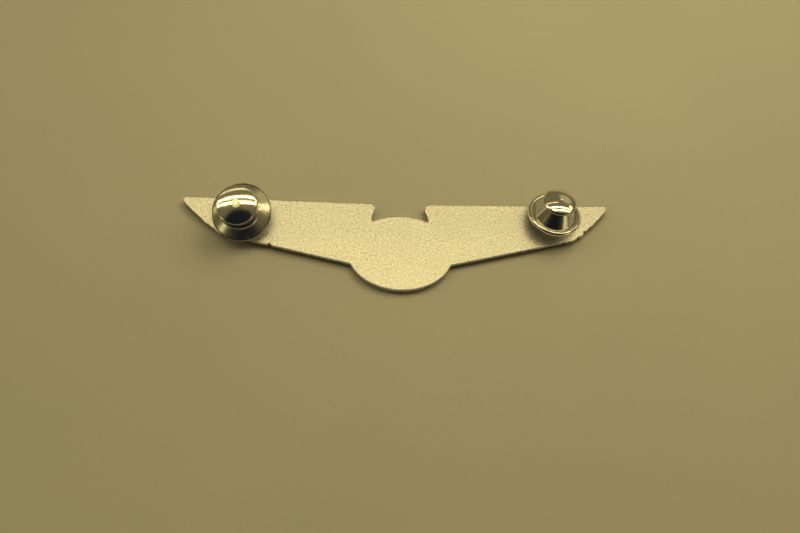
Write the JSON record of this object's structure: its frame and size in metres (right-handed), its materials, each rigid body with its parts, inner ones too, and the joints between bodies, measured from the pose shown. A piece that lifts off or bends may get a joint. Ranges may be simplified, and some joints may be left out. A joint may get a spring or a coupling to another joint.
{
  "type": "pilot wings pin",
  "caption": "Metal wings badge with an oval centre, pinned through fabric by two bent posts that hold spring-locked ball clutches.",
  "frame": {"origin": "centre of the oval emblem on the flat back face", "axes": "+X along the span, +Y from the emblem towards the straight top edge, +Z out of the back towards the posts"},
  "size_m": [0.0762, 0.0187, 0.0089],
  "materials": {
    "badge_metal": "nickel-silver, fine sandblasted satin",
    "post_metal": "drawn wire, slightly dull",
    "solder": "grey solder, uneven",
    "disc_metal": "stamped, satin",
    "left_shell_metal": "spun nickel plate with circular marks",
    "left_knob_metal": "nickel plate, polished with fine wear",
    "right_shell_metal": "bright nickel plate",
    "right_knob_metal": "bright nickel plate",
    "inner_brass": "bare turned brass",
    "spring_steel": "spring wire",
    "ball_steel": "polished ball"
  },
  "bodies": {
    "badge": {"badge_plate": "badge_metal", "left_post": "post_metal", "left_post_solder": "solder", "right_post": "post_metal", "right_post_solder": "solder"},
    "left_guide": {"left_guide_disc": "disc_metal"},
    "left_clutch": {"left_shell": "left_shell_metal", "left_race": "inner_brass"},
    "left_knob_spring": {"left_spring": "spring_steel"},
    "left_knob": {"left_ball_cage": "inner_brass", "left_cap": "left_knob_metal"},
    "left_ball_1_body": {"left_ball_1": "ball_steel"},
    "left_ball_2_body": {"left_ball_2": "ball_steel"},
    "left_ball_3_body": {"left_ball_3": "ball_steel"},
    "right_guide": {"right_guide_disc": "disc_metal"},
    "right_clutch": {"right_shell": "right_shell_metal", "right_race": "inner_brass"},
    "right_knob_spring": {"right_spring": "spring_steel"},
    "right_knob": {"right_ball_cage": "inner_brass", "right_cap": "right_knob_metal"},
    "right_ball_1_body": {"right_ball_1": "ball_steel"},
    "right_ball_2_body": {"right_ball_2": "ball_steel"},
    "right_ball_3_body": {"right_ball_3": "ball_steel"}
  },
  "joints": [
    {"name": "left_clutch_slide", "type": "slide", "parent": "badge", "child": "left_guide", "axis": [-0.0807, -0.1765, 0.981], "range_m": [0, 0.008]},
    {"name": "left_clutch_spin", "type": "hinge", "parent": "left_guide", "child": "left_clutch", "pos_m": [-0.02758, 0.00611, 0.00216], "axis": [-0.0807, -0.1765, 0.981], "continuous": true},
    {"name": "left_knob_spin", "type": "hinge", "parent": "left_clutch", "child": "left_knob_spring", "pos_m": [-0.02758, 0.00611, 0.00216], "axis": [-0.0807, -0.1765, 0.981], "continuous": true},
    {"name": "left_knob_pull", "type": "slide", "parent": "left_knob_spring", "child": "left_knob", "axis": [-0.0807, -0.1765, 0.981], "range_m": [0, 0.0007], "stiffness_N_per_m": 300, "springref_m": -0.002, "deforming": ["left_spring"]},
    {"name": "left_ball_1_slide", "type": "slide", "parent": "left_knob", "child": "left_ball_1_body", "axis": [-0.0145, 0.9843, 0.1759], "range_m": [0, 0.00015]},
    {"name": "left_ball_2_slide", "type": "slide", "parent": "left_knob", "child": "left_ball_2_body", "axis": [-0.8559, -0.4921, -0.1589], "range_m": [0, 0.00015]},
    {"name": "left_ball_3_slide", "type": "slide", "parent": "left_knob", "child": "left_ball_3_body", "axis": [0.8703, -0.4921, -0.017], "range_m": [0, 0.00015]},
    {"name": "right_clutch_slide", "type": "slide", "parent": "badge", "child": "right_guide", "axis": [0.0442, 0.2264, 0.973], "range_m": [0, 0.008]},
    {"name": "right_clutch_spin", "type": "hinge", "parent": "right_guide", "child": "right_clutch", "pos_m": [0.0275, 0.007, 0.00214], "axis": [0.0442, 0.2264, 0.973], "continuous": true},
    {"name": "right_knob_spin", "type": "hinge", "parent": "right_clutch", "child": "right_knob_spring", "pos_m": [0.0275, 0.007, 0.00214], "axis": [0.0442, 0.2264, 0.973], "continuous": true},
    {"name": "right_knob_pull", "type": "slide", "parent": "right_knob_spring", "child": "right_knob", "axis": [0.0442, 0.2264, 0.973], "range_m": [0, 0.0007], "stiffness_N_per_m": 300, "springref_m": -0.002, "deforming": ["right_spring"]},
    {"name": "right_ball_1_slide", "type": "slide", "parent": "right_knob", "child": "right_ball_1_body", "axis": [-0.0103, 0.974, -0.2262], "range_m": [0, 0.00015]},
    {"name": "right_ball_2_slide", "type": "slide", "parent": "right_knob", "child": "right_ball_2_body", "axis": [-0.86, -0.487, 0.1524], "range_m": [0, 0.00015]},
    {"name": "right_ball_3_slide", "type": "slide", "parent": "right_knob", "child": "right_ball_3_body", "axis": [0.8703, -0.487, 0.0738], "range_m": [0, 0.00015]}
  ],
  "couplings": [
    {"joint": "left_ball_1_slide", "follows": "left_knob_pull", "ratio": 0.2125},
    {"joint": "left_ball_2_slide", "follows": "left_knob_pull", "ratio": 0.2125},
    {"joint": "left_ball_3_slide", "follows": "left_knob_pull", "ratio": 0.2125},
    {"joint": "right_ball_1_slide", "follows": "right_knob_pull", "ratio": 0.2125},
    {"joint": "right_ball_2_slide", "follows": "right_knob_pull", "ratio": 0.2125},
    {"joint": "right_ball_3_slide", "follows": "right_knob_pull", "ratio": 0.2125}
  ]
}
